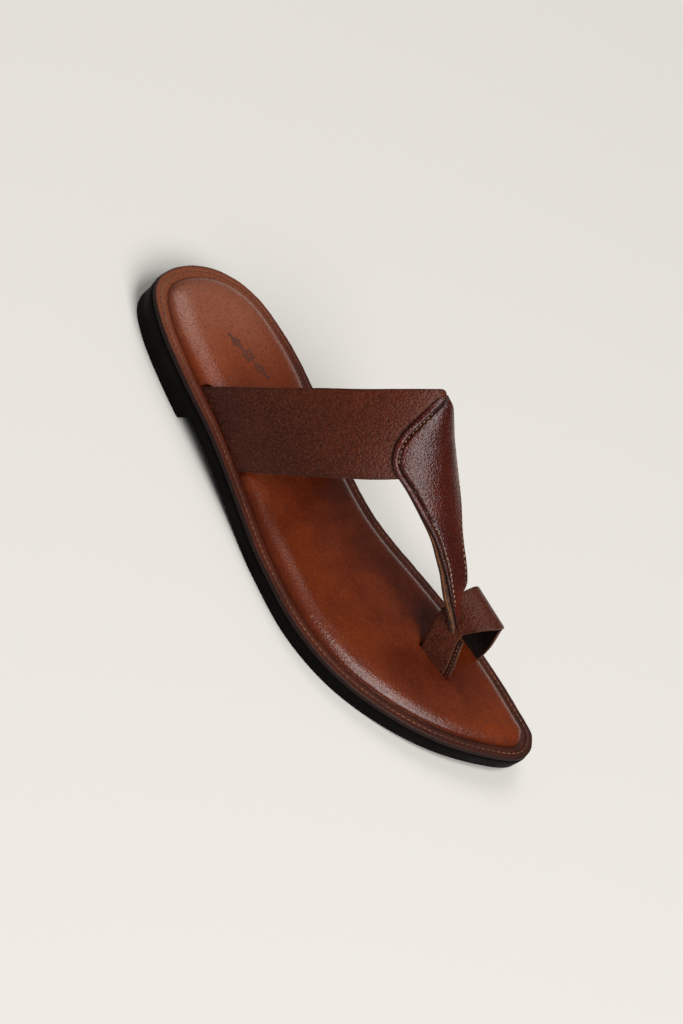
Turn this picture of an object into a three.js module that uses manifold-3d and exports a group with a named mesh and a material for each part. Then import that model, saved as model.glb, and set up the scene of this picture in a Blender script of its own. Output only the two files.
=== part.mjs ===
// Kolhapuri sandal, right foot: leather upper with an instep band, a centre strap and a big-toe ring,
// on a cushioned leather footbed with a rubber outsole and a low heel.
// Millimetres. +X points to the toe, +Y to the inner (big-toe) side, +Z up. The sole stands on z = 0.
import * as THREE from 'three';
import { mergeVertices } from 'three/addons/utils/BufferGeometryUtils.js';
import Module from 'manifold-3d';

const wasm = await Module();
wasm.setup();

// ---- Driving dimensions -------------------------------------------------------------------------
const GAP = 0.3; // air between touching pieces

const HEEL_BACK = -0.8; // X counts along the foot, from its heel
const TOE_TIP = 281.5;
const HEEL_LENGTH = 65.5; // at the ground; the breast leans forward as it rises
const BREAST_LEAN = 4;
const HEEL_HEIGHT = 6;
const OUTSOLE_THICKNESS = 7.3;
const RIM_THICKNESS = 2.4;
const RIM_MARGIN = 7; // flat margin between the edge and the pad
const RIM_EDGE = { width: 0.6, drop: 0.5 }; // bevel of the rim's upper edge
const PAD_THICKNESS = 4.4;
const PAD_SHOULDER = 7; // width of the rounded shoulder of the pad
const WELT = 0.4; // how far the outsole's top stands out past the leather
const SOLE_TAPER = 0.8; // and leans in towards the ground

const ARCH_START = 72; // the sole leaves the heel's height here
const BALL_START = 150; // and rests flat from here
const BALL_END = 206; // to here
const TOE_SPRING = 5;

const WALL = 2.2; // leather of the band and ring
const STRAP_FACE = -0.1; // the centre strap lies this far under the band's face
const STRAP_WALL = 1.9;
const OVERLAY_WALL = 1.6;
const SLIT_CLEARANCE = 0.35;
const SLIT_RUNOUT = 2.5; // how much longer each slit is than its strap, at each end
const RING_RUNOUT = 0.125; // the same for the ring's slits, as a part of its width
const SLIT_DEPTH = 0.025; // how much deeper, as a part of the strap's length

// How finely each form is divided.
const SOLE_STEPS = 48;
const HEEL_STEPS = 18;
const BAND_STEPS = { outer: 10, crest: 10, inner: 9, across: 5 };
const CREST_TURN = 0.3; // the crest's share of the band, to each side
const LEAF_STEPS = 8;
const RING_STEPS = { along: 28, across: 3 };
const NUDGE = 1e-3; // a small step along a curve, for its slope
const CLOSE = 1e-6; // where a search for a place stops
const WELD = 1e-4; // points nearer than this are one

// Plan outline of the leather footbed: outer and inner edge, from the heel to the toe.
const PLAN = [
  { x: HEEL_BACK, outer: -2, inner: -2 },
  { x: 5, outer: -21, inner: 21 },
  { x: 23, outer: -31.4, inner: 37 },
  { x: 52, outer: -37.6, inner: 41 },
  { x: 85, outer: -41.3, inner: 37.6 },
  { x: 120, outer: -46, inner: 35.2 },
  { x: 152, outer: -51, inner: 36.8 },
  { x: 182, outer: -52.6, inner: 44 },
  { x: 210, outer: -45.8, inner: 50 },
  { x: 236, outer: -30.5, inner: 51.8 },
  { x: 258, outer: -10.5, inner: 50.4 },
  { x: 274, outer: 12.5, inner: 46.6 },
  { x: TOE_TIP, outer: 32, inner: 32 },
];

// The pad's shoulder, from its foot: share of the shoulder's width and of the pad's thickness.
const PAD_PROFILE = [
  { across: 0, rise: 0 },
  { across: 0.06, rise: 0.3 },
  { across: 0.3, rise: 0.75 },
  { across: 1, rise: 1 },
];

// Cross-sections of the band and centre strap, seen from the front: where the leather enters the footbed
// on the outer and inner side, its crest, and how far it runs level before it turns down each side.
const SECTIONS = [
  { x: 50, outerY: -30, crestY: 18, crestZ: 90, innerY: 32, outerReach: 9, innerReach: 9 },
  { x: 80, outerY: -34, crestY: 18, crestZ: 97, innerY: 30, outerReach: 9, innerReach: 9 },
  { x: 105, outerY: -38.2, crestY: 18, crestZ: 102.5, innerY: 28, outerReach: 9, innerReach: 9 },
  { x: 126, outerY: -40.5, crestY: 18, crestZ: 99.5, innerY: 28, outerReach: 10, innerReach: 10 },
  { x: 145, outerY: -43, crestY: 18, crestZ: 83.5, innerY: 34, outerReach: 18, innerReach: 17 },
  { x: 165, outerY: -44, crestY: 18, crestZ: 69, innerY: 50, outerReach: 22, innerReach: 18 },
  { x: 185, outerY: -44, crestY: 18, crestZ: 57, innerY: 66, outerReach: 24, innerReach: 20 },
  { x: 203, outerY: -44, crestY: 18, crestZ: 46.5, innerY: 80, outerReach: 24, innerReach: 24 },
  { x: 220, outerY: -44, crestY: 17, crestZ: 29.5, innerY: 80, outerReach: 24, innerReach: 24 },
];
const OUTER_RUN = 0.24; // how each side leaves the footbed: inwards, as a part of its width,
const INNER_RUN = -0.12;
const SIDE_RISE = 0.42; // and upwards, as a part of its height

// Rear and front edge of the band, from the outer footbed (turn -1) over the crest (0) to the inner (1).
const BAND = [
  { turn: -1.012, rear: 59.5, front: 103.5 },
  { turn: -0.9, rear: 67.2, front: 112.7 },
  { turn: -0.75, rear: 79.2, front: 125.8 },
  { turn: -0.6, rear: 92, front: 136.6 },
  { turn: -0.45, rear: 104.5, front: 144.7 },
  { turn: -0.3, rear: 114.7, front: 150.5 },
  { turn: -0.15, rear: 121.4, front: 154 },
  { turn: 0, rear: 124.3, front: 155 },
  { turn: 0.15, rear: 125.7, front: 153.5 },
  { turn: 0.3, rear: 125, front: 149 },
  { turn: 0.6, rear: 111, front: 136 },
  { turn: 1.012, rear: 79, front: 114 },
];

// Outer and inner edge of the centre strap and of the leaf-shaped overlay on it.
const LEAF = [
  { x: 126, outer: 17, inner: 18.6 },
  { x: 128.5, outer: 9, inner: 20 },
  { x: 133, outer: -0.8, inner: 22 },
  { x: 139, outer: -4.8, inner: 24 },
  { x: 146, outer: -5.1, inner: 25.5 },
  { x: 156, outer: -2, inner: 27 },
  { x: 168, outer: 2, inner: 26.5 },
  { x: 180, outer: 6.3, inner: 24.3 },
  { x: 192, outer: 8.2, inner: 23.3 },
  { x: 200, outer: 8.2, inner: 21.8 },
  { x: 206, outer: 9.2, inner: 19.5 },
  { x: 212, outer: 12.3, inner: 18.5 },
  { x: 218, outer: 15.5, inner: 18 },
];
const STRAP_START = 139; // inside the band
const OVERLAY_END = 206; // the bare strap runs on to its tip on the ring

// Ring for the big toe, along the strip from its foot between the toes to its foot at the inner edge.
const RING = [
  { place: 0, z: 9.4, rearX: 217.4, rearY: 7.5, frontX: 233.6, frontY: 9.7 },
  { place: 0.15, z: 20, rearX: 211, rearY: 11.5, frontX: 228, frontY: 13 },
  { place: 0.31, z: 32, rearX: 204.8, rearY: 15.8, frontX: 220.8, frontY: 17 },
  { place: 0.41, z: 39.8, rearX: 203, rearY: 21.5, frontX: 223, frontY: 21.5 },
  { place: 0.52, z: 44, rearX: 203, rearY: 29.5, frontX: 226, frontY: 29.5 },
  { place: 0.62, z: 41.5, rearX: 203, rearY: 36.8, frontX: 226, frontY: 37.5 },
  { place: 0.73, z: 34, rearX: 204, rearY: 42.6, frontX: 225.5, frontY: 43.2 },
  { place: 0.865, z: 21, rearX: 207, rearY: 45.2, frontX: 228, frontY: 46 },
  { place: 1, z: 9.4, rearX: 210, rearY: 42, frontX: 229.8, frontY: 43.5 },
];

// ---- Smooth curves through tables ---------------------------------------------------------------
function columnSlope(table, key, column, row) {
  const before = table[Math.max(row - 1, 0)];
  const after = table[Math.min(row + 1, table.length - 1)];
  return (after[column] - before[column]) / (after[key] - before[key]);
}

// Every column of a table at a place between its rows, straight on beyond the ends.
function readTable(table, key, at) {
  const last = table.length - 1;
  let row = 0;
  while (row < last - 1 && table[row + 1][key] < at) row += 1;
  const span = table[row + 1][key] - table[row][key];
  const t = THREE.MathUtils.clamp((at - table[row][key]) / span, 0, 1);
  const beyond = at - table[row][key] - t * span;
  const found = {};
  for (const column of Object.keys(table[0])) {
    const from = table[row][column];
    const to = table[row + 1][column];
    const leave = columnSlope(table, key, column, row) * span;
    const arrive = columnSlope(table, key, column, row + 1) * span;
    const start = (1 - t) ** 2 * ((1 + 2 * t) * from + t * leave);
    const finish = t ** 2 * ((3 - 2 * t) * to - (1 - t) * arrive);
    found[column] = start + finish + (beyond * (t < 1 ? leave : arrive)) / span;
  }
  return found;
}

function smoothStep(from, to, at) {
  const t = THREE.MathUtils.clamp((at - from) / (to - from), 0, 1);
  return t * t * (3 - 2 * t);
}

// ---- Heights along the sole ---------------------------------------------------------------------
function outsoleBottom(x) {
  const heel = (HEEL_HEIGHT + GAP) * (1 - smoothStep(ARCH_START, BALL_START, x));
  const toe = TOE_SPRING * (Math.max(x - BALL_END, 0) / (TOE_TIP - BALL_END)) ** 2;
  return heel + toe;
}

function outsoleTop(x) {
  return outsoleBottom(x) + OUTSOLE_THICKNESS;
}

function rimBottom(x) {
  return outsoleTop(x) + GAP;
}

function rimTop(x) {
  return rimBottom(x) + RIM_THICKNESS;
}

function padBottom(x) {
  return rimTop(x) + GAP;
}

// ---- Solids from grids of points ----------------------------------------------------------------
// Closes a stack of loops, which all have the same number of points, with a strip of quads across the
// first and the last loop. The loops run up the outer side and back down the inner side.
function closeLoops(loops, pairs) {
  const count = loops[0].length;
  const points = loops.flat();
  const faces = [];
  for (let level = 0; level + 1 < loops.length; level += 1) {
    const low = level * count;
    const high = low + count;
    for (let i = 0; i < count; i += 1) {
      const next = (i + 1) % count;
      faces.push([low + i, low + next, high + next], [low + i, high + next, high + i]);
    }
  }
  const top = (loops.length - 1) * count;
  for (let i = 0; i + 1 < pairs.length; i += 1) {
    const [a, b] = pairs[i];
    const [c, d] = pairs[i + 1];
    for (const [p, q, r] of [[a, d, c], [a, b, d]]) {
      if (p === q || q === r || r === p) continue;
      faces.push([p, q, r], [top + p, top + r, top + q]);
    }
  }
  return solidFrom(points, faces);
}

function solidFrom(points, faces) {
  const geometry = new THREE.BufferGeometry();
  geometry.setFromPoints(points);
  geometry.setIndex(faces.flat());
  return turnedOut(geometry);
}

function signedVolume(geometry) {
  const index = geometry.index.array;
  const position = geometry.attributes.position;
  const [a, b, c] = [new THREE.Vector3(), new THREE.Vector3(), new THREE.Vector3()];
  let total = 0;
  for (let i = 0; i < index.length; i += 3) {
    a.fromBufferAttribute(position, index[i]);
    b.fromBufferAttribute(position, index[i + 1]);
    c.fromBufferAttribute(position, index[i + 2]);
    total += a.dot(b.cross(c)) / 6;
  }
  return total;
}

function turnedOut(geometry) {
  if (signedVolume(geometry) < 0) geometry.index.array.reverse();
  return geometry;
}

function toManifold(geometry) {
  const bare = geometry.clone();
  bare.deleteAttribute('normal');
  bare.deleteAttribute('uv');
  const merged = mergeVertices(bare, WELD);
  return new wasm.Manifold(
    new wasm.Mesh({
      numProp: 3,
      vertProperties: new Float32Array(merged.attributes.position.array),
      triVerts: new Uint32Array(merged.index.array),
    }),
  );
}

function fromManifold(manifold) {
  const mesh = manifold.getMesh();
  const geometry = new THREE.BufferGeometry();
  geometry.setAttribute('position', new THREE.BufferAttribute(mesh.vertProperties, 3));
  geometry.setIndex(new THREE.BufferAttribute(mesh.triVerts, 1));
  return geometry;
}

// ---- Sole pieces --------------------------------------------------------------------------------
// A place counts the rows of PLAN. The outline is mirrored past its ends, so heel and toe come out round.
function planRow(row) {
  const last = PLAN.length - 1;
  const mirrored = row < 0 ? -row : 2 * last - row;
  if (row >= 0 && row <= last) return PLAN[row];
  return { x: PLAN[mirrored].x, outer: PLAN[mirrored].inner, inner: PLAN[mirrored].outer };
}

function planAt(place) {
  const row = Math.min(Math.floor(place), PLAN.length - 2);
  const t = place - row;
  const rows = [planRow(row - 1), planRow(row), planRow(row + 1), planRow(row + 2)];
  const blend = (column) => {
    const [a, b, c, d] = rows.map((one) => one[column]);
    return b + 0.5 * t * (c - a + t * (2 * a - 5 * b + 4 * c - d + t * (3 * (b - c) + d - a)));
  };
  return { x: blend('x'), outer: blend('outer'), inner: blend('inner') };
}

function placeOf(x) {
  let low = 0;
  let high = PLAN.length - 1;
  while (high - low > CLOSE) {
    const middle = (low + high) / 2;
    if (planAt(middle).x < x) low = middle;
    else high = middle;
  }
  return low;
}

// A point of the outline's outer or inner side, moved in by the inset.
function edgePoint(place, side, inset) {
  const last = PLAN.length - 1;
  const here = planAt(place);
  const before = planAt(Math.max(place - NUDGE, 0));
  const after = planAt(Math.min(place + NUDGE, last));
  const along = new THREE.Vector2(after.x - before.x, after[side] - before[side]);
  if (place === 0) along.set(0, side === 'outer' ? -1 : 1);
  if (place === last) along.set(0, side === 'outer' ? 1 : -1);
  along.normalize();
  const turn = side === 'outer' ? 1 : -1;
  return new THREE.Vector2(here.x - turn * along.y * inset, here[side] + turn * along.x * inset);
}

// A form with the sole's outline. Each level has an inset from the outline and a height along the sole,
// and may stop short of the toe.
function soleForm(levels, steps) {
  const last = PLAN.length - 1;
  const whole = levels[0].length === undefined;
  const loops = levels.map(({ inset, height, length }) => {
    const end = whole ? last : placeOf(length);
    const places = Array.from({ length: steps + 1 }, (_, i) => (end * i) / steps);
    const back = places.slice(1, whole ? -1 : undefined).reverse();
    const flat = [
      ...places.map((place) => edgePoint(place, 'outer', inset)),
      ...back.map((place) => edgePoint(place, 'inner', inset)),
    ];
    return flat.map((point) => new THREE.Vector3(point.x, point.y, height(point.x)));
  });
  const count = loops[0].length;
  const pairs = Array.from({ length: steps + 1 }, (_, i) => [i, (count - i) % count]);
  if (whole) pairs[steps] = [steps, steps];
  return closeLoops(loops, pairs);
}

function makeOutsole() {
  return soleForm(
    [
      { inset: SOLE_TAPER - WELT, height: outsoleBottom },
      { inset: -WELT, height: outsoleTop },
    ],
    SOLE_STEPS,
  );
}

function makeHeelBlock() {
  const inset = SOLE_TAPER - WELT;
  return soleForm(
    [
      { inset, height: () => 0, length: HEEL_LENGTH },
      { inset, height: () => HEEL_HEIGHT, length: HEEL_LENGTH + BREAST_LEAN },
    ],
    HEEL_STEPS,
  );
}

function makeRim() {
  return soleForm(
    [
      { inset: 0, height: rimBottom },
      { inset: 0, height: (x) => rimTop(x) - RIM_EDGE.drop },
      { inset: RIM_EDGE.width, height: rimTop },
    ],
    SOLE_STEPS,
  );
}

function makePad() {
  const levels = PAD_PROFILE.map(({ across, rise }) => ({
    inset: RIM_MARGIN + across * PAD_SHOULDER,
    height: (x) => padBottom(x) + rise * PAD_THICKNESS,
  }));
  return soleForm(levels, SOLE_STEPS);
}

// ---- Upper --------------------------------------------------------------------------------------
// The outer face of the band and centre strap. Turn is -1 at the outer footbed, 0 on the crest, 1 at
// the inner footbed, and goes a little past both ends, down into the slits.
function upperFace(x, turn) {
  const section = readTable(SECTIONS, 'x', x);
  const outer = turn < 0;
  const footY = outer ? section.outerY : section.innerY;
  const reach = outer ? -section.outerReach : section.innerReach;
  const run = outer ? OUTER_RUN : INNER_RUN;
  const footZ = padBottom(x);
  const height = section.crestZ - footZ;
  const sideY = footY + run * (section.crestY - footY);
  const sideZ = footZ + SIDE_RISE * height;
  const t = Math.min(Math.abs(turn), 1);
  const beyond = Math.abs(turn) - t;
  const bend = (crest, nearCrest, nearFoot, foot) =>
    (1 - t) ** 3 * crest +
    3 * t * (1 - t) ** 2 * nearCrest +
    3 * t ** 2 * (1 - t) * nearFoot +
    t ** 3 * foot +
    3 * beyond * (foot - nearFoot);
  return new THREE.Vector3(
    x,
    bend(section.crestY, section.crestY + reach, sideY, footY),
    bend(section.crestZ, section.crestZ, sideZ, footZ),
  );
}

function turnOf(x, y) {
  let low = -1;
  let high = 1;
  while (high - low > CLOSE) {
    const middle = (low + high) / 2;
    if (upperFace(x, middle).y < y) low = middle;
    else high = middle;
  }
  return low;
}

function ringFace(across, place) {
  const row = readTable(RING, 'place', place);
  return new THREE.Vector3(
    THREE.MathUtils.lerp(row.rearX, row.frontX, across),
    THREE.MathUtils.lerp(row.rearY, row.frontY, across),
    row.z,
  );
}

function faceNormal(face, u, v) {
  const alongU = face(u + NUDGE, v).sub(face(u - NUDGE, v)).normalize();
  const alongV = face(u, v + NUDGE).sub(face(u, v - NUDGE)).normalize();
  return alongU.cross(alongV).normalize();
}

// A sheet of leather on a face, between two heights above it. Rows hold the sheet's places [u, v].
function sheet(face, rows, low, high) {
  const raised = (u, v, height) => face(u, v).addScaledVector(faceNormal(face, u, v), height);
  const shifted = (height) => rows.map((row) => row.map(([u, v]) => raised(u, v, height)));
  const width = rows[0].length;
  const count = rows.length * width;
  const points = [...shifted(low).flat(), ...shifted(high).flat()];
  const faces = [];
  const quad = (a, b, c, d) => faces.push([a, b, c], [a, c, d]);
  for (let r = 0; r + 1 < rows.length; r += 1) {
    for (let c = 0; c + 1 < width; c += 1) {
      const at = r * width + c;
      quad(at, at + 1, at + width + 1, at + width);
      quad(count + at, count + at + width, count + at + width + 1, count + at + 1);
    }
    const left = r * width;
    const right = left + width - 1;
    quad(left, left + width, count + left + width, count + left);
    quad(right, count + right, count + right + width, right + width);
  }
  const lastRow = (rows.length - 1) * width;
  for (let c = 0; c + 1 < width; c += 1) {
    quad(c, count + c, count + c + 1, c + 1);
    quad(lastRow + c, lastRow + c + 1, count + lastRow + c + 1, count + lastRow + c);
  }
  return solidFrom(points, faces);
}

function steps(from, to, count) {
  return Array.from({ length: count + 1 }, (_, i) => from + ((to - from) * i) / count);
}

function bandSheet(spare, runout) {
  const reach = BAND[BAND.length - 1].turn + (spare > 0 ? SLIT_DEPTH : 0);
  const turns = [
    ...steps(-reach, -CREST_TURN, BAND_STEPS.outer),
    ...steps(-CREST_TURN, CREST_TURN, BAND_STEPS.crest).slice(1),
    ...steps(CREST_TURN, reach, BAND_STEPS.inner).slice(1),
  ];
  const rows = turns.map((turn) => {
    const edge = readTable(BAND, 'turn', turn);
    const across = steps(edge.rear - runout, edge.front + runout, BAND_STEPS.across);
    return across.map((x) => [x, turn]);
  });
  return sheet(upperFace, rows, -WALL - spare, spare);
}

function leafRows(from, to) {
  const marks = LEAF.map((row) => row.x).filter((x) => x >= from && x <= to);
  const halves = marks.slice(1).map((x, i) => (x + marks[i]) / 2);
  const places = [...marks, ...halves].sort((a, b) => a - b);
  return places.map((x) => {
    const edge = readTable(LEAF, 'x', x);
    const turns = steps(turnOf(x, edge.outer), turnOf(x, edge.inner), LEAF_STEPS);
    return turns.map((turn) => [x, turn]);
  });
}

function ringSheet(spare, runout) {
  const over = spare > 0 ? SLIT_DEPTH : 0;
  const across = steps(-runout, 1 + runout, RING_STEPS.across);
  const places = steps(-over, 1 + over, RING_STEPS.along);
  const rows = places.map((place) => across.map((share) => [share, place]));
  return sheet(ringFace, rows, -WALL - spare, spare);
}

function makeUpper() {
  const band = toManifold(bandSheet(0, 0));
  const strapRows = leafRows(STRAP_START, LEAF[LEAF.length - 1].x);
  const strap = toManifold(sheet(upperFace, strapRows, STRAP_FACE - STRAP_WALL, STRAP_FACE));
  const ring = toManifold(ringSheet(0, 0));
  return fromManifold(band.add(strap).add(ring));
}

function makeOverlay() {
  return sheet(upperFace, leafRows(LEAF[0].x, OVERLAY_END), GAP, GAP + OVERLAY_WALL);
}

function withSlits(geometry) {
  const bandSlits = toManifold(bandSheet(SLIT_CLEARANCE, SLIT_RUNOUT));
  const ringSlits = toManifold(ringSheet(SLIT_CLEARANCE, RING_RUNOUT));
  return fromManifold(toManifold(geometry).subtract(bandSlits).subtract(ringSlits));
}

// ---- Assembly -----------------------------------------------------------------------------------
const LEATHER_RIM = new THREE.MeshStandardMaterial({ color: '#5a2a18', roughness: 0.6, metalness: 0 });
const LEATHER_PAD = new THREE.MeshStandardMaterial({ color: '#7c3c1e', roughness: 0.45, metalness: 0 });
const LEATHER_UPPER = new THREE.MeshStandardMaterial({ color: '#4f2418', roughness: 0.5, metalness: 0 });
const LEATHER_OVERLAY = new THREE.MeshStandardMaterial({ color: '#4a1a10', roughness: 0.35, metalness: 0 });
const RUBBER = new THREE.MeshStandardMaterial({ color: '#12110e', roughness: 0.5, metalness: 0 });

const PIECES = [
  { name: 'outsole', geometry: makeOutsole(), material: RUBBER },
  { name: 'heel_block', geometry: makeHeelBlock(), material: RUBBER },
  { name: 'footbed_rim', geometry: withSlits(makeRim()), material: LEATHER_RIM },
  { name: 'footbed_pad', geometry: withSlits(makePad()), material: LEATHER_PAD },
  { name: 'upper', geometry: makeUpper(), material: LEATHER_UPPER },
  { name: 'centre_overlay', geometry: makeOverlay(), material: LEATHER_OVERLAY },
];

const sandal = new THREE.Group();
sandal.name = 'kolhapuri_sandal';
for (const { name, geometry, material } of PIECES) {
  const mesh = new THREE.Mesh(geometry, material);
  mesh.name = name;
  sandal.add(mesh);
}
// The origin is under the middle of the sandal's plan.
const middle = new THREE.Box3().setFromObject(sandal).getCenter(new THREE.Vector3());
sandal.position.set(-middle.x, -middle.y, 0);

export default sandal;
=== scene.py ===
"""Kolhapuri sandal, right foot: moulded leather footbed, instep band, centre strap with a stitched
overlay and a big-toe ring, on a rubber outsole. Shapes are worked out in millimetres, with x
counted from the heel and y towards the inner (big-toe) side, and go into the CAD frame in
metres."""
import math

import bmesh
import bpy
import numpy as np
from mathutils import Matrix, Vector, noise
from mathutils.bvhtree import BVHTree
from mathutils.kdtree import KDTree


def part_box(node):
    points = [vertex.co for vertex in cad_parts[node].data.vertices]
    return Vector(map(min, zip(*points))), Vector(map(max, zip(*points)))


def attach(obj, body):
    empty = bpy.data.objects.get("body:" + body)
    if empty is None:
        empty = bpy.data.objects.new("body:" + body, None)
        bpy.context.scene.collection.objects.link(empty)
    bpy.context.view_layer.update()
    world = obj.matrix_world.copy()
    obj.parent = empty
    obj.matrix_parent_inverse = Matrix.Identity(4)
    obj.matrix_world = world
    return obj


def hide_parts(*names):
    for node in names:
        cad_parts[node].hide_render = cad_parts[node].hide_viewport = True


MM = 0.001

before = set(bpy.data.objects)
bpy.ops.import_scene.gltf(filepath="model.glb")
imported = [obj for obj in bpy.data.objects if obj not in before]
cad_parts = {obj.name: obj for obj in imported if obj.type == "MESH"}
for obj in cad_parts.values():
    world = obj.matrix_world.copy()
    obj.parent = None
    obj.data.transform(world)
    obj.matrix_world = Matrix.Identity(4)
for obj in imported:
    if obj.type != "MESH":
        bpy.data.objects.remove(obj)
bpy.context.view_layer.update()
random = np.random.default_rng(11)

# ---- Dimensions, as in the CAD part -------------------------------------------------------------
GAP = 0.3
HEEL_BACK = -0.8
TOE_TIP = 281.5
HEEL_LENGTH = 65.5
BREAST_LEAN = 4
HEEL_HEIGHT = 6
OUTSOLE_THICKNESS = 7.3
RIM_THICKNESS = 2.4
RIM_MARGIN = 7
PAD_THICKNESS = 4.4
WELT = 0.4
SOLE_TAPER = 0.8
ARCH_START = 72
BALL_START = 150
BALL_END = 206
TOE_SPRING = 5
WALL = 2.2
STRAP_WALL = 1.9
OVERLAY_WALL = 1.6
STRAP_START = 139

PLAN = np.array([  # x, outer edge, inner edge
    (HEEL_BACK, -2, -2), (5, -21, 21), (23, -31.4, 37), (52, -37.6, 41), (85, -41.3, 37.6),
    (120, -46, 35.2), (152, -51, 36.8), (182, -52.6, 44), (210, -45.8, 50), (236, -30.5, 51.8),
    (258, -10.5, 50.4), (274, 12.5, 46.6), (TOE_TIP, 32, 32),
])
SECTIONS = np.array([  # x, outer foot y, crest y, crest z, inner foot y, outer reach, inner reach
    (50, -30, 18, 90, 32, 9, 9), (80, -34, 18, 97, 30, 9, 9), (105, -38.2, 18, 102.5, 28, 9, 9),
    (126, -40.5, 18, 99.5, 28, 10, 10), (145, -43, 18, 83.5, 34, 18, 17),
    (165, -44, 18, 69, 50, 22, 18), (185, -44, 18, 57, 66, 24, 20),
    (203, -44, 18, 46.5, 80, 24, 24), (220, -44, 17, 29.5, 80, 24, 24),
])
OUTER_RUN, INNER_RUN, SIDE_RISE = 0.24, -0.12, 0.42
BAND = np.array([  # turn, rear edge, front edge
    (-1.012, 59.5, 103.5), (-0.9, 67.2, 112.7), (-0.75, 79.2, 125.8), (-0.6, 92, 136.6),
    (-0.45, 104.5, 144.7), (-0.3, 114.7, 150.5), (-0.15, 121.4, 154), (0, 124.3, 155),
    (0.15, 125.7, 153.5), (0.3, 125, 149), (0.6, 111, 136), (1.012, 79, 114),
])
LEAF = np.array([  # x, outer edge, inner edge
    (126, 17, 18.6), (128.5, 9, 20), (133, -0.8, 22), (139, -4.8, 24), (146, -5.1, 25.5),
    (156, -2, 27), (168, 2, 26.5), (180, 6.3, 24.3), (192, 8.2, 23.3), (200, 8.2, 21.8),
    (206, 9.2, 19.5), (212, 12.3, 18.5), (218, 15.5, 18),
])
RING = np.array([  # place, z, rear x, rear y, front x, front y
    (0, 9.4, 217.4, 7.5, 233.6, 9.7), (0.15, 20, 211, 11.5, 228, 13),
    (0.31, 32, 204.8, 15.8, 220.8, 17), (0.41, 39.8, 203, 21.5, 223, 21.5),
    (0.52, 44, 203, 29.5, 226, 29.5), (0.62, 41.5, 203, 36.8, 226, 37.5),
    (0.73, 34, 204, 42.6, 225.5, 43.2), (0.865, 21, 207, 45.2, 228, 46),
    (1, 9.4, 210, 42, 229.8, 43.5),
])

# ---- Dimensions of the visual pieces alone ------------------------------------------------------
HEEL_TOP = HEEL_HEIGHT + GAP + 0.4  # a little way up into the outsole, so that no gap shows
FOOT_INSET = SOLE_TAPER - WELT  # where the walls of the sole and heel meet the floor
RIB_PITCH = 4.2
TREAD_DEPTH, TREAD_BORDER = 0.7, 7
TREAD_START, TREAD_END, TREAD_FADE = 128, 272, 6
HEEL_RIB_DEPTH, HEEL_RIB_BORDER, HEEL_RIBS_END = 0.6, 6, 56
CHANNEL = 3.05  # the inset of the rim's stitch channel
RAGGED = 0.22  # how far the rim's cut edge wanders
RIM_GROOVE = 0.5  # how deep the rim lies under the pad
PAD_SUNK, PAD_EDGE_SUNK = 0.45, 0.35  # how far the pad's underside and edge lie in that groove
SHOULDER, SHOULDER_POWER = 13.0, 1.8  # the width and roundness of the pad's shoulder
PAD_LOOPED = 5.4  # the pad's loops run in this far; any further and they would fold at the toe
SLIT_CLEARANCE = 0.25
SLIT_PINCH, SLIT_PINCH_RUN = 0.62, 3.0  # the share of its width that a slit loses past the strap
SLIT_END_RUN = 0.7  # the length over which it closes at its ends
SEAM_INSET, LINE_INSET = 3.0, 2.3  # the overlay's seam round the wing, and further on
APEX_THIN = 1.1  # how much thinner the overlay is at its start on the crest
OVERLAY_TIP = 216

# ---- How finely curves are followed -------------------------------------------------------------
NUDGE = 1e-3  # the step to either side of a place that gives the direction there
WELD = 2e-7  # points closer than this, in metres, are one
EDGE_STEPS, SOLE_STEPS, PAD_STEPS, HEEL_STEPS = 900, 440, 300, 90
PLACES_SEARCHED, TURNS_SEARCHED = 4001, 801
SHARES = np.linspace(0, 1, 41)  # places across a strap where its face is worked out
SHARP_ANGLE = 50  # faces that meet at more than this, in degrees, are not smoothed together
THREAD_SPOTS = 7  # places along one stitch
ONCE_ROUND = np.linspace(0, 2 * math.pi, 8, endpoint=False)[None, :, None]  # angles of a thread


# ---- Curves through tables ----------------------------------------------------------------------
def read(table, at):
    """The columns of a table at places along its first column: a smooth curve, straight on beyond
    the ends."""
    at = np.asarray(at, float)
    keys, columns = table[:, 0], table[:, 1:]
    rows = np.arange(len(keys))
    after, before = np.minimum(rows + 1, rows[-1]), np.maximum(rows - 1, 0)
    slopes = (columns[after] - columns[before]) / (keys[after] - keys[before])[:, None]
    row = np.clip(np.searchsorted(keys, at) - 1, 0, len(keys) - 2)
    span = (keys[row + 1] - keys[row])[..., None]
    offset = (at - keys[row])[..., None]
    t = np.clip(offset / span, 0, 1)
    leave, arrive = slopes[row] * span, slopes[row + 1] * span
    smooth = (1 - t) ** 2 * ((1 + 2 * t) * columns[row] + t * leave)
    smooth += t ** 2 * ((3 - 2 * t) * columns[row + 1] - (1 - t) * arrive)
    return smooth + (offset / span - t) * np.where(t < 1, leave, arrive)


def smooth_step(low, high, at):
    t = np.clip((np.asarray(at, float) - low) / (high - low), 0, 1)
    return t * t * (3 - 2 * t)


def bump(at, centre, width):
    return np.exp(-(((np.asarray(at, float) - centre) / width) ** 2))


def patches(points, table):
    """The sum of a table's soft patches: x, y, radius along, radius across, amount."""
    x, y = points[..., 0], points[..., 1]
    return sum(amount * bump(x, at_x, along) * bump(y, at_y, across)
               for at_x, at_y, along, across, amount in table)


def unit(vectors):
    return vectors / np.maximum(np.linalg.norm(vectors, axis=-1, keepdims=True), 1e-12)


def wander(points, size, seed):
    """Smooth noise between about -1 and 1 at points, whose bumps are about size apart."""
    flat = np.asarray(points, float).reshape(-1, 3)
    shift = Vector((seed, 1.7 * seed, -seed))
    found = [noise.noise(Vector(p / size) + shift) for p in flat]
    return np.array(found).reshape(np.shape(points)[:-1])


def grounded(flat):
    """Plan points, at height 0."""
    return np.column_stack([flat, 0 * flat[:, 0]])


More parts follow.
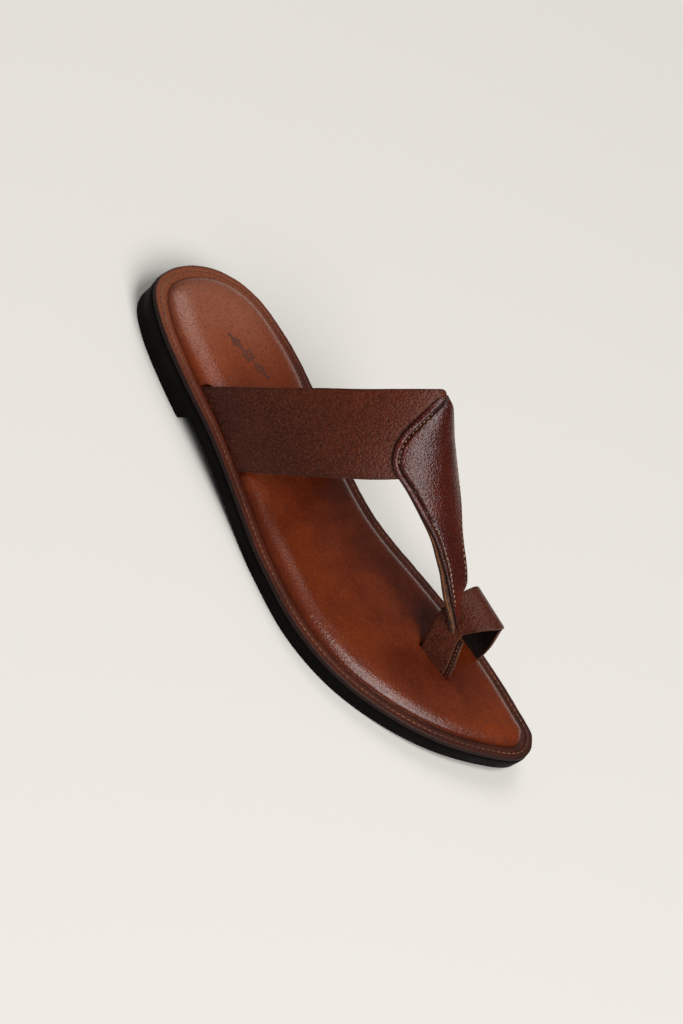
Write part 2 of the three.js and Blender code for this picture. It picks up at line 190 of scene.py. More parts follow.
def runs_of(path):
    """How far along a path each of its points is."""
    return np.concatenate([[0], np.cumsum(np.linalg.norm(np.diff(path, axis=0), axis=1))])


def at_runs(wanted, runs, rows):
    """Rows of three numbers, known at some distances run, read off at others."""
    return np.stack([np.interp(wanted, runs, rows[:, k]) for k in range(3)], -1)


def tree_of(points):
    tree = KDTree(len(points))
    for i, p in enumerate(points):
        tree.insert(p, i)
    tree.balance()
    return tree


# ---- Heights along the sole ---------------------------------------------------------------------
def outsole_bottom(x):
    heel = (HEEL_HEIGHT + GAP) * (1 - smooth_step(ARCH_START, BALL_START, x))
    return heel + TOE_SPRING * (np.maximum(x - BALL_END, 0) / (TOE_TIP - BALL_END)) ** 2


def outsole_top(x):
    return outsole_bottom(x) + OUTSOLE_THICKNESS


def rim_bottom(x):
    return outsole_top(x) + GAP


def rim_top(x):
    return rim_bottom(x) + RIM_THICKNESS


def pad_bottom(x):
    return rim_top(x) + GAP


# ---- The footbed's outline ----------------------------------------------------------------------
LAST = len(PLAN) - 1
MIRRORED = np.vstack([PLAN[1][[0, 2, 1]], PLAN, PLAN[-2][[0, 2, 1]]])


def plan_at(place):
    row = np.clip(np.floor(place).astype(int), 0, LAST - 1)
    t = (place - row)[:, None]
    a, b, c, d = (MIRRORED[row + k] for k in range(4))
    return b + 0.5 * t * (c - a + t * (2 * a - 5 * b + 4 * c - d + t * (3 * (b - c) + d - a)))


def outline(inset, steps, end=LAST):
    """A closed loop of plan points, up the outer side and back down the inner side, moved in by
    the inset."""
    places = np.linspace(0, end, steps + 1)
    here = plan_at(places)
    before = plan_at(np.maximum(places - NUDGE, 0))
    after = plan_at(np.minimum(places + NUDGE, LAST))
    sides = []
    for column, turn in ((1, 1), (2, -1)):
        ahead = np.stack([after[:, 0] - before[:, 0], after[:, column] - before[:, column]], -1)
        ahead[0] = (0, -turn)
        if end == LAST:
            ahead[-1] = (0, turn)
        ahead = unit(ahead)
        sides.append((here[:, [0, column]], turn * np.stack([-ahead[:, 1], ahead[:, 0]], -1)))
    back = slice(-2, 0, -1) if end == LAST else slice(None, 0, -1)
    points = np.vstack([sides[0][0], sides[1][0][back]])
    inward = np.vstack([sides[0][1], sides[1][1][back]])
    return points + inward * np.reshape(inset, (-1, 1))


def place_of(x):
    places = np.linspace(0, LAST, PLACES_SEARCHED)
    return float(np.interp(x, plan_at(places)[:, 0], places))


edge_tree = tree_of(grounded(outline(0, EDGE_STEPS)))


def from_edge(points):
    """How far plan points lie inside the footbed's outline."""
    flat = np.asarray(points, float)[..., :2].reshape(-1, 2)
    found = [edge_tree.find((p[0], p[1], 0))[2] for p in flat]
    return np.array(found).reshape(np.shape(points)[:-1])


sole_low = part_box("outsole")[0]
welt_low = outline(-WELT, EDGE_STEPS)[:, 1].min()
ORIGIN = np.array([HEEL_BACK - WELT - sole_low.x / MM, welt_low - sole_low.y / MM, 0])


# ---- Meshes -------------------------------------------------------------------------------------
class Skin:
    """Grids of points, welded into one closed mesh, with named numbers at each point."""

    def __init__(self):
        self.points, self.faces, self.fields = [], [], {}
        self.count = 0

    def grid(self, points, closed=False, **fields):
        """Adds rows x columns x 3 points. A closed grid joins its last column to its first."""
        rows, columns = points.shape[:2]
        at = self.count + np.arange(rows * columns).reshape(rows, columns)
        right = np.roll(at, -1, axis=1) if closed else at[:, 1:]
        left = at if closed else at[:, :-1]
        quads = np.stack([left[:-1], right[:-1], right[1:], left[1:]], -1).reshape(-1, 4)
        self.points.append(points.reshape(-1, 3))
        self.faces.append(quads)
        for name in set(self.fields) | set(fields):
            value = np.broadcast_to(fields.get(name, 0.0), (rows, columns)).reshape(-1)
            self.fields.setdefault(name, [np.zeros(self.count)]).append(value)
        self.count += rows * columns
        return self

    def cap(self, loop, columns, height=None, **fields):
        """Fills a loop that runs up one side and down the other, with rows from side to side.
        height and the fields may be functions of the points."""
        half = len(loop) // 2
        across = np.linspace(0, 1, columns + 1)[None, :, None]
        one, other = loop[: half + 1, None], loop[-np.arange(half + 1), None]
        points = one + (other - one) * across
        if height is not None:
            points[..., 2] = height(points)
        made = {name: value(points) if callable(value) else value
                for name, value in fields.items()}
        return self.grid(points, **made)

    def end(self, loop, **fields):
        """Closes a loop with a fan of faces to its middle."""
        middle = np.broadcast_to(loop.mean(0), loop.shape)
        return self.grid(np.stack([loop, middle]), closed=True, **fields)

    def build(self, name, sharp=SHARP_ANGLE):
        mesh = bpy.data.meshes.new(name)
        points = (np.vstack(self.points) - ORIGIN) * MM
        mesh.from_pydata(points.tolist(), [], np.vstack(self.faces).tolist())
        for field, parts in self.fields.items():
            values = mesh.attributes.new(field, "FLOAT", "POINT")
            values.data.foreach_set("value", np.concatenate(parts).astype(np.float32))
        work = bmesh.new()
        work.from_mesh(mesh)
        bmesh.ops.remove_doubles(work, verts=work.verts, dist=WELD)
        bmesh.ops.recalc_face_normals(work, faces=work.faces)
        work.to_mesh(mesh)
        work.free()
        shade(mesh, sharp)
        piece = bpy.data.objects.new(name, mesh)
        bpy.context.scene.collection.objects.link(piece)
        return piece


def stacked(loops, **fields):
    """A skin of loops, one on the other."""
    return Skin().grid(np.array(loops), closed=True, **fields)


def shade(mesh, sharp):
    mesh.shade_smooth()
    mesh.set_sharp_from_angle(angle=math.radians(sharp))


def settle(piece, material, slot, *nodes):
    piece.data.materials.clear()
    piece.data.materials.append(material)
    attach(piece, "root")
    if nodes:
        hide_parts(*nodes)
    return piece


def cut(piece, cutters):
    """Takes the cutters out of the piece for good."""
    for cutter in cutters:
        hole = piece.modifiers.new("slit", "BOOLEAN")
        hole.operation, hole.solver, hole.object = "DIFFERENCE", "MANIFOLD", cutter
    seen = piece.evaluated_get(bpy.context.evaluated_depsgraph_get())
    mesh = bpy.data.meshes.new_from_object(seen)
    piece.modifiers.clear()
    piece.data = mesh
    shade(mesh, SHARP_ANGLE)


def laid_on(piece, points):
    """The nearest places on a piece's surface, with its normals there."""
    mesh = piece.data
    faces = [face.vertices for face in mesh.polygons]
    tree = BVHTree.FromPolygons([v.co for v in mesh.vertices], faces)
    found = [tree.find_nearest(Vector((p - ORIGIN) * MM)) for p in points]
    return np.array([f[0] for f in found]) / MM + ORIGIN, np.array([f[1] for f in found])


# ---- Surfaces of the upper ----------------------------------------------------------------------
def upper_face(x, turn):
    """The outer face of the band and centre strap: turn is -1 at the outer footbed, 0 on the
    crest, 1 at the inner footbed."""
    x, turn = np.broadcast_arrays(np.asarray(x, float), np.asarray(turn, float))
    columns = np.moveaxis(read(SECTIONS, x), -1, 0)
    outer_y, crest_y, crest_z, inner_y, outer_reach, inner_reach = columns
    outer = turn < 0
    foot_y = np.where(outer, outer_y, inner_y)
    foot_z = pad_bottom(x)
    side_y = foot_y + np.where(outer, OUTER_RUN, INNER_RUN) * (crest_y - foot_y)
    side_z = foot_z + SIDE_RISE * (crest_z - foot_z)
    t = np.minimum(np.abs(turn), 1)
    beyond = np.abs(turn) - t

    def bend(crest, near_crest, near_foot, foot):
        bent = (1 - t) ** 3 * crest + 3 * t * (1 - t) ** 2 * near_crest
        bent = bent + 3 * t ** 2 * (1 - t) * near_foot
        return bent + t ** 3 * foot + 3 * beyond * (foot - near_foot)

    reach = np.where(outer, -outer_reach, inner_reach)
    y = bend(crest_y, crest_y + reach, side_y, foot_y)
    return np.stack([x, y, bend(crest_z, crest_z, side_z, foot_z)], -1)


def ring_face(across, place):
    """The outer face of the ring: across is 0 at its rear edge and 1 at its front edge, and place
    runs from 0 at the toe post to 1 at the inner side."""
    z, rear_x, rear_y, front_x, front_y = np.moveaxis(read(RING, place), -1, 0)
    x, y = rear_x + (front_x - rear_x) * across, rear_y + (front_y - rear_y) * across
    return np.stack([x, y, z], -1)


def face_normal(face, u, v):
    along_u = face(u + NUDGE, v) - face(u - NUDGE, v)
    along_v = face(u, v + NUDGE) - face(u, v - NUDGE)
    return unit(np.cross(unit(along_u), unit(along_v)))


def turn_of(x, y):
    turns = np.linspace(-1, 1, TURNS_SEARCHED)
    return float(np.interp(y, upper_face(x, turns)[:, 1], turns))


def face_up(points):
    return np.array([face_normal(upper_face, p[0], turn_of(p[0], p[1])) for p in points])


def band_row(turn, shares):
    rear, front = read(BAND, turn)
    x = rear + (front - rear) * shares
    return upper_face(x, turn), face_normal(upper_face, x, turn)


def leaf_row(x, shares, outward, inward):
    """A row across the leaf, which reaches further out and in than its edges by these amounts."""
    outer, inner = read(LEAF, x)
    low, high = turn_of(x, outer - outward), turn_of(x, inner + inward)
    turn = low + (high - low) * shares
    return upper_face(x, turn), face_normal(upper_face, x, turn)


def overlay_row(x, shares):
    inward = 1.2 * smooth_step(206, 214, x) - 2.8 * smooth_step(200, 206, x)
    return leaf_row(x, shares, -1.6 * smooth_step(188, 208, x), inward)


def strap_row(x, shares):
    outward = smooth_step(165, 190, x) - 0.7 * smooth_step(200, 214, x)
    return leaf_row(x, shares, outward, -2.2 * smooth_step(198, 210, x))


def ring_row(place, shares):
    face = np.array([ring_face(s, place) for s in shares])
    normal = np.array([face_normal(ring_face, s, place) for s in shares])
    return face, normal


def edge_line(side, start, end):
    """The leaf's outer (0) or inner (1) edge on the face of the upper."""
    x = np.linspace(start, end, 300)
    return np.array([upper_face(a, turn_of(a, b)) for a, b in zip(x, read(LEAF, x)[:, side])])


def moved_in(line, distance, towards):
    """A line on the upper moved sideways over its face, towards other points."""
    ahead = unit(np.gradient(line, axis=0))
    way = towards - line
    return line + unit(way - np.sum(way * ahead, -1, keepdims=True) * ahead) * distance


# ---- Strips and stitches ------------------------------------------------------------------------
def section_loop(width, low, high, radius, columns):
    """The cross-section of a strip: pairs of (way across in mm, height), once round, with rounded
    edges."""
    radius = min(radius, (high - low) / 2 - 0.02)
    angles = np.radians(np.arange(0, 91, 22.5))
    sines, cosines = radius * np.sin(angles), radius * np.cos(angles)
    far, upper, lower = width - radius, high - radius, low + radius
    over = np.linspace(radius, far, columns)
    parts = [(over, np.full(columns, high)), (far + sines[1:], upper + cosines[1:]),
             (far + cosines, lower - sines), (over[-2::-1], np.full(columns - 1, low)),
             (radius - sines[1:], lower - cosines[1:]),
             (radius - cosines[:-1], upper + sines[:-1])]
    return np.hstack(parts).T


def strip(name, at, rows, low, high, radius, columns, slack, seed, relief=None, **marks):
    """A strip of leather, from low to high above its face. at(row, shares) gives points and
    normals across a row, relief(points) lifts the top, and slack is how far the whole strip
    wanders. Its fields are edge, the distance to the nearer long edge, side, 1 on the cut edges
    and 2 on the back, and the marks, each of them made by a function of the points."""
    loops, edges, sides, marked = [], [], [], {key: [] for key in marks}
    for row in rows:
        track, normals = at(row, SHARES)
        runs = runs_of(track)
        width = runs[-1]
        across, rise = section_loop(width, low, high, min(radius, width / 3), columns).T
        point, normal = at_runs(across, runs, track), unit(at_runs(across, runs, normals))
        height = rise
        if relief is not None:
            height = rise + relief(point) * smooth_step(0.45, 0.95, (rise - low) / (high - low))
        loops.append(point + normal * height[:, None])
        edges.append(np.minimum(across, width - across))
        sides.append((rise < high - radius * 0.6) + 1.0 * (rise < low + 0.05))
        for key, mark in marks.items():
            marked[key].append(mark(point))
    loops = np.array(loops)
    aside = loops - loops.mean(1, keepdims=True)
    wave = slack * wander(loops, 26, seed) + 0.35 * slack * wander(loops, 7, seed)
    loops = loops + wave[..., None] * aside / np.maximum(np.abs(aside).max(), 1)
    fields = {key: np.array(made) for key, made in marked.items()}
    skin = stacked(loops, edge=np.array(edges), side=np.array(sides), **fields)
    return skin.end(loops[0], side=1.0).end(loops[-1], side=1.0).build(name)


def stitches(name, points, normals, material, slot, pitch, length, radius, sink):
    """A row of separate stitches along a path, each one a short thread that dives into the leather
    at both ends."""
    runs = runs_of(points)
    share = np.linspace(-1, 1, THREAD_SPOTS)
    thick = radius * np.sqrt(1 - 0.55 * share ** 2)
    height = radius * (1 - 2.2 * share ** 4) - sink
    skin = Skin()
    for centre in np.arange(pitch, runs[-1] - pitch / 2, pitch):
        reach = share / 2 * length * random.uniform(0.92, 1.06)
        spots = centre + reach + random.uniform(-0.08, 0.08)
        path, normal = at_runs(spots, runs, points), unit(at_runs(spots, runs, normals))
        across = unit(np.cross(normal, unit(np.gradient(path, axis=0))))
        lean = share * random.uniform(-0.12, 0.12)
        path = path + normal * height[:, None] + across * lean[:, None]
        turned = (np.cos(ONCE_ROUND) * across[:, None]
                  + 0.8 * np.sin(ONCE_ROUND) * normal[:, None])
        ring = path[:, None] + thick[:, None, None] * turned
        skin.grid(ring, closed=True).end(ring[0]).end(ring[-1])
    return settle(skin.build(name), material, slot)


# ---- Materials ----------------------------------------------------------------------------------
def linear(code):
    """A colour as a screen shows it, '#rrggbb', in the scene's linear values."""
    parts = [int(code[i : i + 2], 16) / 255 for i in (1, 3, 5)]
    return tuple(c / 12.92 if c <= 0.04045 else ((c + 0.055) / 1.055) ** 2.4
                 for c in parts) + (1.0,)


class Finish:
    """A node material on one Principled shader. Sizes are in millimetres."""

    def __init__(self, name, **shader):
        self.material = bpy.data.materials.new(name)
        self.material.use_nodes = True
        self.nodes, self.links = self.material.node_tree.nodes, self.material.node_tree.links
        self.shader = self.nodes["Principled BSDF"]
        for key, value in shader.items():
            socket = key.replace("_", " ").title().replace("Ior", "IOR")
            self.shader.inputs[socket].default_value = value
        self.place = self.add("ShaderNodeTexCoord").outputs["Object"]

    def add(self, kind, settings=None, **inputs):
        """Adds a node. Inputs go by name, or as i0, i1 and so on by number."""
        node = self.nodes.new(kind)
        for key, value in (settings or {}).items():
            setattr(node, key, value)
        for key, value in inputs.items():
            numbered = key[0] == "i" and key[1:].isdigit()
            self.put(node.inputs[int(key[1:]) if numbered else key], value)
        return node

    def put(self, socket, value):
        if isinstance(value, bpy.types.NodeSocket):
            self.links.new(value, socket)
        else:
            socket.default_value = value

    def math(self, operation, one, other, clamp=False):
        settings = {"operation": operation, "use_clamp": clamp}
        return self.add("ShaderNodeMath", settings, i0=one, i1=other).outputs[0]

    def plus(self, one, other, clamp=False):
        return self.math("ADD", one, other, clamp)

    def minus(self, one, other):
        return self.math("SUBTRACT", one, other)

    def times(self, one, other):
        return self.math("MULTIPLY", one, other)

    def field(self, name):
        """A named number of the mesh."""
        return self.add("ShaderNodeAttribute", {"attribute_name": name}).outputs["Fac"]

    def cloud(self, size, detail, roughness=0.5, stretch=(1, 1, 1)):
        place = self.add("ShaderNodeMapping", Vector=self.place, Scale=stretch).outputs[0]
        made = self.add("ShaderNodeTexNoise", Vector=place, Scale=1 / (size * MM), Detail=detail,
                        Roughness=roughness)
        return made.outputs[0]

    def cells(self, size):
        """Rounded cells of uneven outline: 0 at the middle of each, higher between them."""
        rough = self.add("ShaderNodeTexNoise", Vector=self.place, Scale=1 / (size * 2.5 * MM),
                         Detail=1.0)
        warp = self.add("ShaderNodeVectorMath", {"operation": "MULTIPLY_ADD"},
                        i0=rough.outputs[1], i1=(size * MM,) * 3, i2=self.place)
        made = self.add("ShaderNodeTexVoronoi", {"feature": "SMOOTH_F1"}, Vector=warp.outputs[0],
                        Scale=1 / (size * MM))
        return made.outputs["Distance"]

    def span(self, value, low, high, to_low=0.0, to_high=1.0):
        """A value between low and high, spread smoothly over 0 to 1 or two other numbers."""
        made = self.add("ShaderNodeMapRange", {"interpolation_type": "SMOOTHSTEP"},
                        i0=value, i1=low, i2=high, i3=to_low, i4=to_high)
        return made.outputs[0]

    def mix(self, share, one, other):
        node = self.add("ShaderNodeMix", {"data_type": "RGBA"}, Factor=share, i6=one, i7=other)
        return node.outputs[2]

    def relief(self, height, depth, under=None):
        made = self.add("ShaderNodeBump", Height=height, Distance=depth * MM)
        if under is not None:
            self.put(made.inputs["Normal"], under)
        return made.outputs[0]

    def finish(self, colour, roughness, normal=None):
        self.put(self.shader.inputs["Base Color"], colour)
        self.put(self.shader.inputs["Roughness"], roughness)
        if normal is not None:
            self.put(self.shader.inputs["Normal"], normal)
        return self.material


def leather(name, dark, mid, light, side, back, grain, depth, rough, rim, rim_share, patch,
            crease=0.12, specks_and_glints=0.35, valley_dye_and_shade=0.45, toned=None, **shader):
    """Drum-dyed leather. grain, rim and patch are the sizes of the pebbles, of the dark border and
    of the colour's patches, and depth and crease are the heights of pebbles and creases. rim_share,
    speckle and burnt say how strongly the dark border, the light specks and the dark valleys show;
    the specks are partly the grain's own colour and partly painted glints, and the valleys partly
    its own colour and partly painted shade. toned is the colour where the mesh's field tone is
    high. It reads the fields edge, side and seam too."""
    f = Finish(name, **shader)
    dark, mid, light, side, back = (linear(code) for code in (dark, mid, light, side, back))
    pebble = f.cells(grain)
    valley = f.span(pebble, 0.42, 0.72)
    fine = f.cloud(grain * 0.42, 3.0, 0.65)
    mottle = f.cloud(grain * 0.72, 3.0, 0.7)

    # The dye, in patches. Where toned is given the field tone is added in, and on the footbed,
    # rim and ring that field carries painted sheen, painted highlight and painted shade as well as
    # dye
    dye_and_light = f.span(f.cloud(patch, 3.0, 0.55), 0.36, 0.66)
    if toned:
        dye_and_light = f.plus(f.times(dye_and_light, 0.3), f.field("tone"), clamp=True)
    colour = f.mix(dye_and_light, dark, mid)
    if toned:
        colour = f.mix(f.span(f.field("tone"), 0.75, 1.5), colour, linear(toned))

    # Light specks on the grain, partly its own colour and partly painted glints, and dark valleys
    # between its pebbles, partly its own colour and partly painted shade
    bright = f.times(f.span(mottle, 0.46, 0.7), f.plus(f.times(dye_and_light, 0.4), 0.6))
    colour = f.mix(f.times(bright, specks_and_glints), colour, light)
    colour = f.mix(f.times(valley, valley_dye_and_shade), colour, dark)

    # A burnished border of uneven width, and the seams
    uneven = f.times(f.minus(f.cloud(5.0, 2.0), 0.5), rim)
    near = f.span(f.plus(f.field("edge"), uneven), 0.0, rim, 1.0, 0.0)
    colour = f.mix(f.times(near, rim_share), colour, dark)
    colour = f.mix(f.field("seam"), colour, back)

    # Raw leather on the cut sides, and the back
    raw = f.mix(f.span(fine, 0.4, 0.62), side, dark)
    raw = f.mix(f.span(f.field("side"), 1.2, 1.8), raw, back)
    on_side = f.span(f.plus(f.field("side"), f.times(f.minus(fine, 0.5), 0.5)), 0.4, 0.7)
    colour = f.mix(on_side, colour, raw)

    # Gloss on the pebbles, duller between them and on the cut sides; grain over wide creases
    dull = f.span(f.plus(f.times(mottle, 0.6), f.times(valley, 0.3)), 0.25, 0.62, *rough)
    dull = f.plus(dull, f.times(on_side, 0.25), clamp=True)
    creases = f.relief(f.cloud(4.5, 3.0, 0.6, (1, 0.45, 1)), crease)
    skin = f.relief(f.minus(f.times(fine, 0.35), f.times(pebble, 0.9)), depth, creases)
    return f.finish(colour, dull, skin)


def suede(name, pale, deep):
    """Raw leather with a short nap."""
    f = Finish(name, sheen_weight=0.12, sheen_roughness=0.6, specular_ior_level=0.15)
    nap = f.cloud(0.55, 4.0, 0.75)
    colour = f.mix(f.span(f.cloud(3.0, 3.0, 0.6), 0.35, 0.65), linear(deep), linear(pale))
    colour = f.mix(f.span(nap, 0.3, 0.5, 0.6, 0.0), colour, linear(deep))
    return f.finish(colour, f.span(nap, 0.3, 0.7, 0.8, 0.97), f.relief(nap, 0.6))


def thread(name, pale, deep):
    """Waxed thread, dirtier in places."""
    f = Finish(name, sheen_weight=0.2, specular_ior_level=0.35)
    twist = f.cloud(0.45, 2.0, 0.6)
    colour = f.mix(f.span(f.cloud(16.0, 2.0), 0.38, 0.62), linear(deep), linear(pale))
    colour = f.mix(f.span(twist, 0.35, 0.6, 0.45, 0.0), colour, linear(deep))
    return f.finish(colour, f.span(twist, 0.3, 0.7, 0.5, 0.75), f.relief(twist, 0.12))


def rubber(name, deep, scuffed, worn):
    """Black rubber with long faint scuffs, greyer along its edges."""
    f = Finish(name, specular_ior_level=0.04)
    scuff = f.cloud(14.0, 4.0, 0.65, (1, 1, 3))
    fine = f.cloud(0.7, 3.0, 0.6)
    colour = f.mix(f.span(scuff, 0.45, 0.75), linear(deep), linear(scuffed))
    wear = f.times(f.span(f.field("edge"), 0.0, 1.2, 1.0, 0.0), f.span(fine, 0.5, 0.6))
    colour = f.mix(wear, colour, linear(worn))
    return f.finish(colour, f.span(scuff, 0.35, 0.7, 0.5, 0.7), f.relief(fine, 0.06))


# On the footbed and the rim, toned is the paler, greyer brown that the heel turns to: partly the
# leather's own colour and partly painted sheen.
PAD_LEATHER = leather(
    "pad_leather", "#4a1506", "#7e3210", "#a85c2c", "#2a120a", "#2a120a", toned="#8a4e38",
    grain=0.95, depth=0.13, crease=0.08, rough=(0.21, 0.34), rim=5.0, rim_share=0.4, patch=20.0,
    specks_and_glints=0.25, specular_ior_level=0.42)
RIM_LEATHER = leather(
    "rim_leather", "#2c0f08", "#5c2412", "#8a4a2a", "#0b0806", "#0b0806", toned="#80462c",
    grain=0.9, depth=0.12, rough=(0.42, 0.58), rim=1.6, rim_share=0.85, patch=15.0,
    specular_ior_level=0.25)
# Its cut sides, #70422a, are partly raw leather and partly a painted highlight where the band's cut
# front edge catches light.
BAND_LEATHER = leather(
    "band_leather", "#2c0d06", "#5c2412", "#96583a", "#70422a", "#120604", toned="#7a3c24",
    grain=1.0, depth=0.36, rough=(0.34, 0.5), rim=2.2, rim_share=0.4, patch=60.0, specks_and_glints=0.42,
    valley_dye_and_shade=0.7, specular_ior_level=0.22)
OVERLAY_LEATHER = leather(
    "overlay_leather", "#380a02", "#591605", "#82361c", "#1c0a07", "#120604",
    grain=0.95, depth=0.28, rough=(0.2, 0.34), rim=1.6, rim_share=0.5, patch=40.0, valley_dye_and_shade=0.6,
    specular_ior_level=0.43)
SUEDE = suede("raw_suede", "#6e3f1e", "#381a0c")
TAN_THREAD = thread("tan_thread", "#90582f", "#542a18")
GOLD_THREAD = thread("gold_thread", "#a0683a", "#5c3018")
PALE_THREAD = thread("pale_thread", "#bc9a78", "#7a5840")
DARK_THREAD = thread("dark_thread", "#2a1410", "#100806")
TOOLING = thread("tooling", "#5a2814", "#3a180c")
RUBBER = rubber("sole_rubber", "#060504", "#0a0806", "#14110e")


# ---- Sole ---------------------------------------------------------------------------------------
def level(inset, height, steps, end=LAST):
    """A loop round the outline, at heights that a function of x gives."""
    flat = outline(inset, steps, end)
    return np.column_stack([flat, height(flat[:, 0])])


def tread(points):
    """Fine wavy ribs across the forefoot, inside a plain border."""
    inside = smooth_step(TREAD_BORDER, TREAD_BORDER + 1.5, from_edge(points))
    x, y = points[..., 0], points[..., 1]
    ribs = 0.5 + 0.5 * np.sin((x + 2.2 * np.sin(y / 5)) * 2 * math.pi / RIB_PITCH)
    where = smooth_step(TREAD_START, TREAD_START + TREAD_FADE, x)
    where = where * (1 - smooth_step(TREAD_END - TREAD_FADE, TREAD_END, x))
    return outsole_bottom(x) + TREAD_DEPTH * inside * where * smooth_step(0.45, 0.75, ribs)


def heel_ribs(points):
    """Straight ribs under the heel, inside a plain border."""
    x = points[..., 0]
    inside = smooth_step(HEEL_RIB_BORDER, HEEL_RIB_BORDER + 1.5, from_edge(points))
    inside = inside * (1 - smooth_step(HEEL_RIBS_END, HEEL_RIBS_END + 2, x))
    ribs = np.sin(x * 2 * math.pi / RIB_PITCH)
    return HEEL_RIB_DEPTH * inside * smooth_step(0.3, 0.8, ribs)


def make_outsole():
    top = OUTSOLE_THICKNESS
    profile = [  # inset, rise
        (FOOT_INSET + 0.3, 0), (FOOT_INSET + 0.08, 0.1), (FOOT_INSET, 0.35),
        (FOOT_INSET - 0.2, 2), (-WELT + 0.2, 5), (-WELT, top - 0.7), (-WELT + 0.15, top - 0.2),
        (-WELT + 0.6, top),
    ]
    loops = [level(inset, lambda x, rise=rise: outsole_bottom(x) + rise, SOLE_STEPS)
             for inset, rise in profile]
    edges = np.array([min(rise, top - rise) for _, rise in profile])[:, None]
    skin = stacked(loops, edge=edges).cap(loops[0], 36, tread, edge=2.0)
    skin.cap(loops[-1], 6, lambda p: outsole_top(p[..., 0]), edge=2.0)
    return settle(skin.build("outsole_body", 40), RUBBER, "sole_rubber", "outsole")


def make_heel():
    profile = [  # inset, rise
        (FOOT_INSET + 0.9, 0), (FOOT_INSET + 0.25, 0.2), (FOOT_INSET, 0.8), (FOOT_INSET, 3),
        (FOOT_INSET, HEEL_TOP),
    ]
    loops = []
    for inset, rise in profile:
        breast = HEEL_LENGTH + BREAST_LEAN * rise / HEEL_HEIGHT - 0.8 * (inset - FOOT_INSET)
        loops.append(level(inset, lambda x, rise=rise: np.full_like(x, rise), HEEL_STEPS,
                           place_of(breast)))
    skin = stacked(loops, edge=np.array([rise for _, rise in profile])[:, None])
    skin.cap(loops[0], 30, heel_ribs, edge=2.0).cap(loops[-1], 4, lambda p: HEEL_TOP, edge=2.0)
    return settle(skin.build("heel_lift", 40), RUBBER, "sole_rubber", "heel_block")


# ---- Slits for the straps -----------------------------------------------------------------------
def slit_loop(face, normal, past, to_end):
    """Once round a slit, a little wider than the strap that comes up from it: pinched together
    past the strap's edges, and closed at its ends."""
    half = WALL / 2 + SLIT_CLEARANCE
    half = half * (1 - SLIT_PINCH * smooth_step(0.0, SLIT_PINCH_RUN, past))
    half *= np.sqrt(np.clip(to_end / SLIT_END_RUN, 0.02, 1))
    outer = face + normal * (half - WALL / 2)[:, None]
    inner = face - normal * (half + WALL / 2)[:, None]
    return np.vstack([outer, inner[::-1]])


def foot_cutter(name, side, rear_run, front_run):
    """The slit that one foot of the band goes down through: side is -1 outside, 1 inside, and the
    runs are how far the slit goes on past the band."""
    loops = []
    for turn in side * np.linspace(0.93, BAND[-1, 0] + 0.03, 9):
        rear, front = read(BAND, turn)
        x = np.linspace(rear - rear_run, front + front_run, 90)
        past = np.maximum(np.maximum(rear - x, x - front), 0)
        to_end = np.minimum(x - x[0], x[-1] - x)
        face, normal = upper_face(x, turn), face_normal(upper_face, x, turn)
        loops.append(slit_loop(face, normal, past, to_end))
    return cutter(name, loops)


def ring_cutter(name, places, rear_run, front_run):
    """The slit that one leg of the ring goes down through, with runs in shares of its width."""
    across = np.linspace(-rear_run, 1 + front_run, 60)
    loops = []
    for place in places:
        width = np.linalg.norm(ring_face(1.0, place) - ring_face(0.0, place))
        past = np.maximum(np.maximum(-across, across - 1), 0) * width
        to_end = np.minimum(across - across[0], across[-1] - across) * width
        loops.append(slit_loop(*ring_row(place, across), past, to_end))
    return cutter(name, loops)


def cutter(name, loops):
    skin = stacked(loops)
    for loop in (loops[0], loops[-1]):
        half = len(loop) // 2
        skin.grid(np.stack([loop[:half], loop[: half - 1 : -1]], 1))
    made = skin.build(name)
    made.hide_render = True
    return made


CUTTERS = [
    foot_cutter("slit_outer", -1, 1.5, 2.5), foot_cutter("slit_inner", 1, 8, 3),
    ring_cutter("slit_post", np.linspace(-0.05, 0.12, 6), 0.12, 0.26),
    ring_cutter("slit_ring", np.linspace(0.88, 1.05, 6), 0.85, 0.1),
]


# ---- Footbed ------------------------------------------------------------------------------------
# Partly dye, partly painted light: the lighter patches on the heel and the ball are partly dye and
# partly painted sheen, and the negative ones under the band, strap and ring and by the toe post are
# painted shade.
DYE_SHEEN_AND_SHADE = [  # x, y, radius along, radius across, how much lighter: patches of the footbed's colour
    (14, 0, 22, 34, 0.7), (40, -22, 34, 16, 0.45), (40, 20, 30, 16, 0.5), (34, 2, 40, 30, 0.55),
    (70, 6, 18, 26, 0.2), (256, 24, 18, 18, 0.26), (248, 6, 14, 12, 0.22), (184, -24, 30, 12, 0.14),
    (206, -12, 16, 10, 0.1), (238, 12, 16, 12, -0.34), (222, -4, 16, 12, -0.2),
    (200, 22, 22, 12, -0.3), (125, 2, 18, 22, -0.26), (150, 18, 26, 14, -0.12),
]
HOLLOWS = [  # x, y, radius along, radius across, rise: where heel, ball and toes press it down
    (36, 2, 26, 15, -0.9), (182, 0, 30, 24, -0.8), (250, 30, 14, 11, -0.7), (226, 8, 8, 8, -0.5),
]


